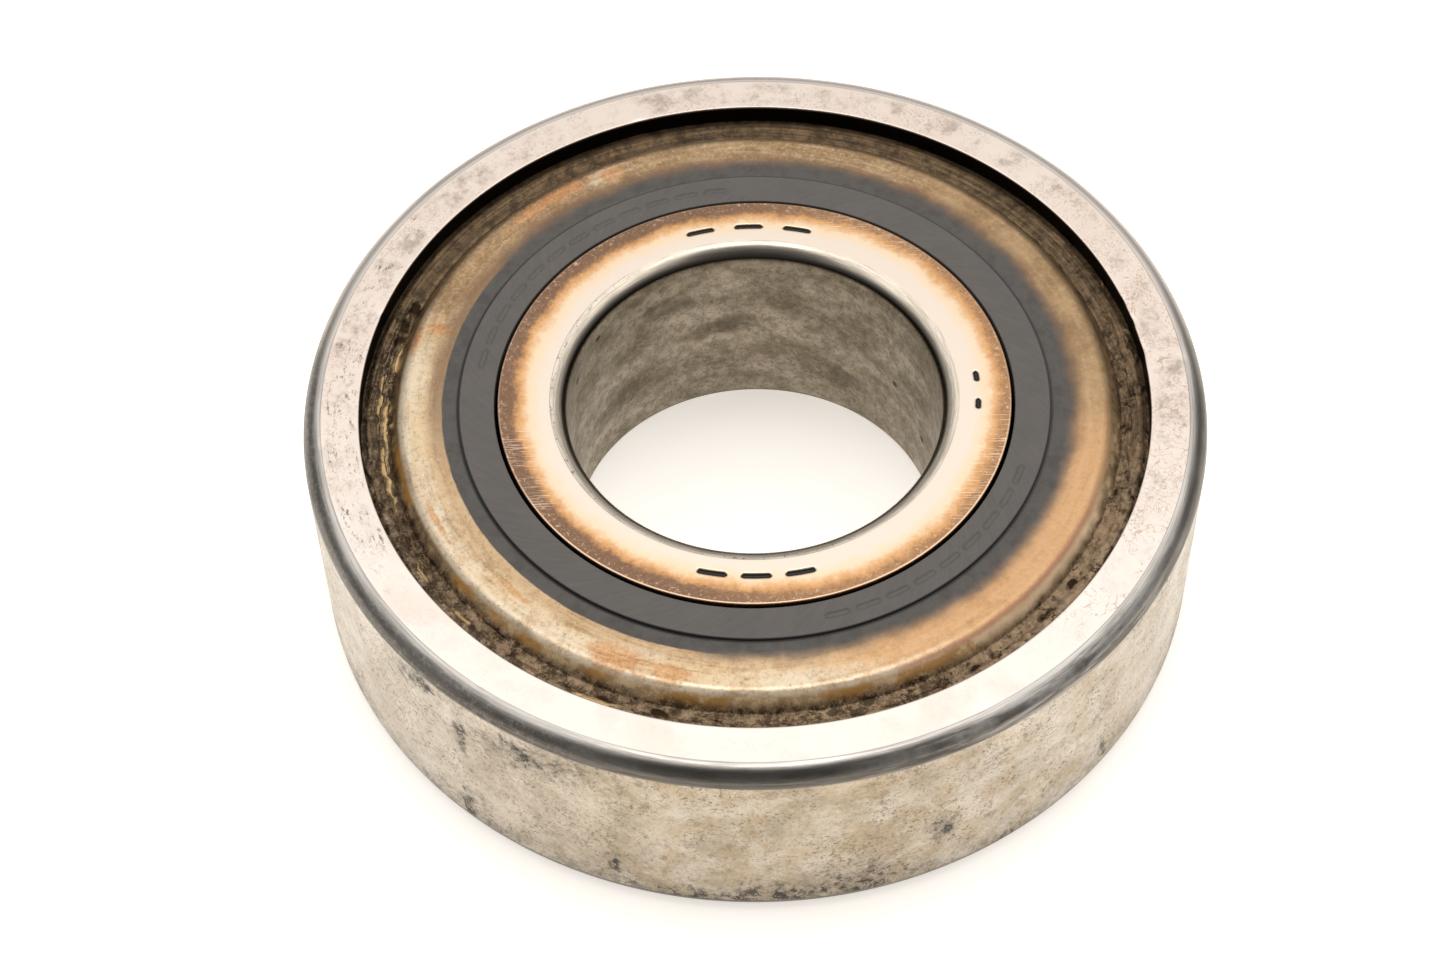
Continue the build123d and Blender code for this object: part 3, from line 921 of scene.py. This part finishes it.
def shield_steel():
    """Pressed sheet: tan and silvery, sooty by the rubber, rusty at its foot, grimy in the recess, with a
    painted highlight on its shoulder and painted light on its near slope.
    """
    m = Finish("seal_shield_steel")
    cloudy = m.math("SUBTRACT", m.noise(2.2, 4, 0.6), 0.5)

    def wavy(share):
        return m.plus(m.r, m.times(cloudy, share))

    reach = wavy(1.3)
    drawn = m.math("SUBTRACT", m.noise(1.0, 4, 0.6, at=m.lines(6, 0.5), seed=1), 0.5)

    # Flat face and shoulder: tan, silvery on one side, orange on another, with a painted highlight along
    # the shoulder
    bright = m.sector(232, 52, 26)
    rosy = m.sector(318, 24, 22)
    clouds = m.rise(m.noise(2.8, 6, 0.72, seed=2), 0.38, 0.62)
    tan = m.mix(clouds, (0.34, 0.225, 0.12), (0.235, 0.145, 0.075))
    tan = m.mix(m.times(bright, 0.85), tan, (0.56, 0.415, 0.25))
    tan = m.mix(m.times(rosy, 0.85), tan, (0.50, 0.292, 0.145))
    # A painted highlight along the shoulder on the near and left sides; silvery patches and this highlight
    # are mixed in together.
    painted_shoulder_highlight = m.times(bright, m.band(wavy(0.6), 28.0, 0.25, 0.35))
    silvery_patches_and_highlight = m.most(m.patches(SILVER_PATCHES, 1.8, 0.8), painted_shoulder_highlight)
    tan = m.mix(m.times(silvery_patches_and_highlight, 0.75), tan, (0.56, 0.48, 0.36))
    tan = m.mix(m.times(m.patches(ORANGE_STAINS, 1.6, 0.5), 0.75), tan, (0.43, 0.195, 0.075))
    veil = m.times(m.rise(m.noise(1.7, 6, 0.78, seed=37), 0.47, 0.6), m.sector(258, 52, 22))
    tan = m.mix(m.times(veil, 0.5), tan, (0.34, 0.185, 0.075))
    speckle = m.noise(0.3, 5, 0.8, seed=22)
    gritty = m.plus(1.0, m.times(m.sector(350, 55, 25), -0.65))
    tan = m.mix(m.times(m.rise(drawn, 0.0, 0.2, 0.4), gritty), tan, (0.56, 0.44, 0.29))
    tan = m.mix(m.times(m.rise(drawn, 0.0, -0.2, 0.5), gritty), tan, (0.17, 0.10, 0.045))
    tan = m.mix(m.times(m.rise(speckle, 0.5, 0.66, 0.5), gritty), tan, (0.13, 0.08, 0.04))
    tan = m.mix(m.times(m.rise(speckle, 0.5, 0.34, 0.4), gritty), tan, (0.60, 0.48, 0.32))
    near = m.sector(268, 62, 30)
    scorched = m.times(m.rise(reach, 26.7, 25.3), m.plus(0.75, m.times(near, -0.38)))
    tan = m.mix(scorched, tan, m.mix(near, (0.17, 0.10, 0.06), (0.27, 0.155, 0.085)))
    blush = m.times(m.band(wavy(0.4), 28.2, 0.04, 0.12), m.sector(316, 18, 8))
    tan = m.mix(m.times(blush, 0.6), tan, (0.50, 0.19, 0.12))
    flecks = m.times(m.specks(0.7, 0.13, seed=3), m.rise(m.noise(3.0, 2, seed=4), 0.46, 0.58))
    tan = m.mix(m.times(flecks, 0.75), tan, (0.045, 0.03, 0.022))

    # The soot's edge is crisp on one side and fades out on the other
    crisp = m.sector(203, 52, 12)
    ragged = m.rise(wavy(0.25), 24.95, 24.82)
    faded = m.rise(m.plus(reach, m.times(m.sector(20, 50, 40), -0.3)), 25.85, 24.4)
    soot = m.blend(crisp, faded, ragged)
    smoky = m.rise(m.noise(1.2, 5, 0.7, seed=8), 0.4, 0.66)
    film = m.mix(smoky, (0.080, 0.069, 0.059), (0.056, 0.047, 0.040))
    # A near-black line along the rubber's step, mixed into the film: painted shadow, deeper on the crisp
    # side.
    painted_step_shadow = m.band(m.r, RUBBER_OUTER_R + 0.07, 0.05, 0.16)
    film = m.mix(m.times(painted_step_shadow, m.plus(0.65, m.times(crisp, 0.35))), film, (0.006, 0.005, 0.004))

    # Slope and recess: brown varnish with rust, painted lighter on the near side and with a painted
    # highlight, then grime in crumbs, black lumps and gold streaks
    turn_down = m.rise(wavy(0.25), 28.3, 28.6)
    uneven = m.rise(m.noise(1.2, 7, 0.78, seed=9), 0.43, 0.58)
    slope = m.mix(uneven, (0.30, 0.19, 0.09), (0.13, 0.08, 0.038))
    # The near side of the slope is painted lighter: painted light.
    slope = m.mix(m.sector(292, 56, 30), slope, m.mix(uneven, (0.62, 0.44, 0.245), (0.36, 0.235, 0.12)))
    # A bright orange patch at 316 degrees: a painted highlight.
    slope = m.mix(m.times(m.sector(316, 16, 14), 0.7), slope, (0.92, 0.66, 0.42))
    slope = m.mix(m.times(m.patches(FOOT_RUST, 2.4, 0.5), 0.85), slope, (0.42, 0.20, 0.035))
    far = m.sector(85, 50, 35)
    caked = m.rise(m.noise(1.3, 7, 0.8, seed=10), 0.42, 0.60)
    grime = m.mix(caked, (0.22, 0.14, 0.07), (0.08, 0.05, 0.026))
    sandy = m.times(m.rise(m.noise(1.0, 7, 0.8, seed=31), 0.4, 0.58), m.sector(285, 45, 35))
    grime = m.mix(m.times(sandy, 0.85), grime, (0.36, 0.245, 0.145))
    ringed = m.rise(m.noise(1.0, 3, 0.6, at=m.lines(14, 0.16), seed=23), 0.45, 0.58)
    ringed = m.times(ringed, m.plus(0.5, m.times(near, -0.4), m.times(m.sector(186, 16, 12), 0.45)))
    grime = m.mix(ringed, grime, (0.022, 0.015, 0.009))
    loose = m.plus(1.0, m.times(far, -0.75))
    crumbs = m.times(m.rise(m.noise(0.4, 6, 0.82, seed=24), 0.52, 0.6), loose)
    crumbs = m.times(crumbs, m.rise(m.noise(2.0, 4, 0.7, seed=25), 0.42, 0.56))
    grime = m.mix(m.times(crumbs, 0.65), grime, (0.36, 0.27, 0.17))
    dust = m.times(m.rise(m.noise(0.8, 5, 0.75, seed=11), 0.47, 0.58), m.rise(m.r, 30.0, 30.7), near)
    grime = m.mix(m.times(dust, 0.7), grime, (0.38, 0.28, 0.19))
    threads = m.rise(m.noise(1.0, 4, 0.7, at=m.lines(4, 0.12)), 0.62, 0.5)
    gold = m.times(m.patches(GOLD_STREAKS, 1.8, 0.4), threads)
    grime = m.mix(m.times(gold, 0.9), grime, (0.62, 0.43, 0.20))
    lump = m.times(m.rise(m.noise(0.7, 8, 0.84, seed=6), 0.51, 0.56), loose)
    lump = m.times(lump, m.rise(m.noise(2.4, 4, 0.7, seed=26), 0.42, 0.56))
    coarse = m.times(m.rise(m.noise(0.9, 8, 0.85, seed=34), 0.48, 0.54), m.sector(248, 46, 14), 0.85)
    lump = m.most(lump, coarse)
    black = m.patches([(a, r, FOOT_LEVEL + 0.15, n, w) for a, r, n, w, _ in GRIME_LUMPS], 1.8)
    black = m.times(m.most(m.times(lump, 0.9), black), m.less(m.times(gold, 0.8)))
    grime = m.mix(black, grime, (0.030, 0.018, 0.010))
    recess = m.rise(wavy(0.9), 28.6, 29.2)

    colour = m.mix(soot, tan, film)
    colour = m.mix(turn_down, colour, slope)
    colour = m.mix(recess, colour, grime)
    shoulder = m.rise(wavy(0.4), 27.9, 28.3)
    varnished = m.times(shoulder, m.plus(0.25, m.times(near, 0.65)), m.plus(1.0, m.times(recess, -0.4)))
    clear = m.less(m.times(black, recess))
    dull = m.times(m.most(soot, varnished, m.times(recess, 0.35)), clear)
    metal = m.less(m.times(dull, 0.9))
    rough = m.blend(recess, m.blend(dull, 0.36, 0.6), 0.6)
    return m.finish(colour, rough, m.noise(0.5, 4, 0.7), 0.02, metal)


def seal_rubber():
    """Moulded rubber: charcoal and matte, faintly wiped across, with a few dark flecks."""
    m = Finish("seal_rubber")
    dust = m.rise(m.noise(3.0, 5, 0.65), 0.4, 0.7)
    colour = m.mix(dust, (0.078, 0.066, 0.056), (0.102, 0.088, 0.075))
    wiped = m.rise(m.noise(1.0, 4, 0.65, at=m.swirl(1.6, 0.3, 0.05)), 0.4, 0.66)
    colour = m.mix(m.times(wiped, 0.3), colour, (0.125, 0.112, 0.102))
    # A near-black band along the outer edge: painted shadow at the step down to the shield.
    edge = m.band(m.r, RUBBER_OUTER_R, 0.06, 0.08)
    colour = m.mix(m.times(edge, 0.85), colour, (0.012, 0.010, 0.009))
    scuff = m.times(m.specks(1.4, 0.1, seed=3), m.rise(m.noise(5, 2, seed=2), 0.5, 0.6))
    colour = m.mix(m.times(scuff, 0.7), colour, (0.03, 0.02, 0.02))
    return m.finish(colour, m.blend(dust, 0.5, 0.62), m.noise(0.25, 4, 0.7), 0.010, metallic=0.0)


def ball_steel():
    m = Finish("ball_steel")
    film = m.rise(m.noise(2.0, 4, 0.6), 0.45, 0.7)
    colour = m.mix(film, (0.72, 0.72, 0.73), (0.60, 0.56, 0.48))
    return m.finish(colour, m.blend(film, 0.06, 0.2), bump=m.noise(0.4, 2), depth=0.001)


def cage_steel():
    m = Finish("cage_steel")
    rolled = m.noise(1.0, 3, at=m.lines(6, 0.15))
    stain = m.rise(m.noise(2.5, 4, 0.6, seed=4), 0.45, 0.7)
    colour = m.mix(stain, (0.46, 0.45, 0.43), (0.28, 0.24, 0.18))
    return m.finish(colour, m.blend(stain, 0.32, 0.5), bump=rolled, depth=0.006)


def rivet_steel():
    m = Finish("rivet_steel")
    worn = m.rise(m.noise(0.8, 4, 0.6, seed=9), 0.42, 0.66)
    colour = m.mix(worn, (0.44, 0.43, 0.42), (0.25, 0.21, 0.16))
    return m.finish(colour, m.blend(worn, 0.28, 0.45), bump=m.noise(0.3, 3), depth=0.005)


def inside_parts():
    """The balls, cage and rivets keep their CAD shapes."""
    finishes = {"ball": ball_steel(), "cage_half": cage_steel(), "cage_rivet": rivet_steel()}
    for name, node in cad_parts.items():
        for start, material in finishes.items():
            if name.startswith(start):
                node.data.materials.clear()
                node.data.materials.append(material)


# Camera, floor and light

CAMERA_AT = Vector((0.0, -0.15582, 0.20331))
CAMERA_PITCH = math.radians(52.805)
CAMERA_YAW = math.radians(-0.995)
CAMERA_ROLL = math.radians(-1.471)
CAMERA_LENS = 77.82
FLOOR_SIZE = 6.0
FLOOR_GAP = 0.0001
FLOOR_COLOUR = (0.90, 0.85, 0.79, 1.0)
FLOOR_GLOW = (1.0, 0.955, 0.89, 1.0)  # the sheet is lit from below, like a light table
GLOW_STRENGTH = 0.55


def camera():
    """The camera looks along +Y and down, with a slight yaw and roll."""
    data = bpy.data.cameras.new("camera")
    data.lens = CAMERA_LENS
    data.sensor_width = 36.0
    data.clip_start = 0.01
    eye = placed("camera", data)
    ahead = Vector(
        (
            math.sin(CAMERA_YAW) * math.cos(CAMERA_PITCH),
            math.cos(CAMERA_YAW) * math.cos(CAMERA_PITCH),
            -math.sin(CAMERA_PITCH),
        )
    )
    level = ahead.cross(Vector((0, 0, 1))).normalized()
    above = level.cross(ahead)
    right = level * math.cos(CAMERA_ROLL) + above * math.sin(CAMERA_ROLL)
    up = above * math.cos(CAMERA_ROLL) - level * math.sin(CAMERA_ROLL)
    turn = Matrix((right, up, -ahead)).transposed().to_4x4()
    eye.matrix_world = Matrix.Translation(CAMERA_AT) @ turn
    bpy.context.scene.camera = eye


def floor():
    """A plain pale sheet under the bearing."""
    mesh = bpy.data.meshes.new("floor")
    half = FLOOR_SIZE / 2
    z = CAD_BOX[0][2] - FLOOR_GAP
    corners = [(-half, -half, z), (half, -half, z), (half, half, z), (-half, half, z)]
    mesh.from_pydata(corners, [], [(0, 1, 2, 3)])
    sheet = placed("floor", mesh)
    material = bpy.data.materials.new("floor")
    material.use_nodes = True
    shader = material.node_tree.nodes["Principled BSDF"]
    shader.inputs["Base Color"].default_value = FLOOR_COLOUR
    shader.inputs["Roughness"].default_value = 0.8
    shader.inputs["Emission Color"].default_value = FLOOR_GLOW
    shader.inputs["Emission Strength"].default_value = GLOW_STRENGTH
    mesh.materials.append(material)


SKY_HIGH = 1.95  # radiance overhead, at the horizon, and on the dark side towards -Y
SKY_LOW = 0.55
SKY_DARK = 0.22
SKY_RISE = (0.3, 0.95)  # sine of the elevation where the light starts and is full
DARK_SIDE = (0.0, -0.616, 0.788)
DARK_EDGE = (0.74, 0.93)
KEY_SIZE = 0.25
KEY_POWER = 0.6
KEY_AT = (0.0, 0.12, 0.9)


def sky():
    """A wide soft light overhead that fades to a dim horizon, and is dark on the near side."""
    world = bpy.data.worlds.new("studio")
    world.use_nodes = True
    bpy.context.scene.world = world
    tree = world.node_tree
    background = tree.nodes["Background"]
    background.inputs["Color"].default_value = (1.0, 1.0, 1.0, 1.0)
    at = tree.nodes.new("ShaderNodeTexCoord").outputs["Generated"]

    def along(direction, low, high):
        dot = tree.nodes.new("ShaderNodeVectorMath")
        dot.operation = "DOT_PRODUCT"
        tree.links.new(at, dot.inputs[0])
        dot.inputs[1].default_value = direction
        ramp = tree.nodes.new("ShaderNodeMapRange")
        ramp.interpolation_type = "SMOOTHSTEP"
        tree.links.new(dot.outputs["Value"], ramp.inputs["Value"])
        ramp.inputs["From Min"].default_value = low
        ramp.inputs["From Max"].default_value = high
        return ramp

    overhead = along((0.0, 0.0, 1.0), *SKY_RISE)
    overhead.inputs["To Min"].default_value = SKY_LOW
    overhead.inputs["To Max"].default_value = SKY_HIGH
    shade = along(DARK_SIDE, *DARK_EDGE)
    mixed = tree.nodes.new("ShaderNodeMix")
    tree.links.new(shade.outputs["Result"], mixed.inputs[0])
    tree.links.new(overhead.outputs["Result"], mixed.inputs[2])
    mixed.inputs[3].default_value = SKY_DARK
    tree.links.new(mixed.outputs[0], background.inputs["Strength"])


def key_light():
    """A soft panel straight overhead."""
    data = bpy.data.lights.new("key", "AREA")
    data.shape = "DISK"
    data.size = KEY_SIZE
    data.energy = KEY_POWER
    placed("key", data).location = KEY_AT


def main():
    camera()
    floor()
    sky()
    key_light()
    bpy.context.scene.view_settings.view_transform = "Standard"
    outer_ring()
    inner_ring()
    seals()
    inside_parts()


main()
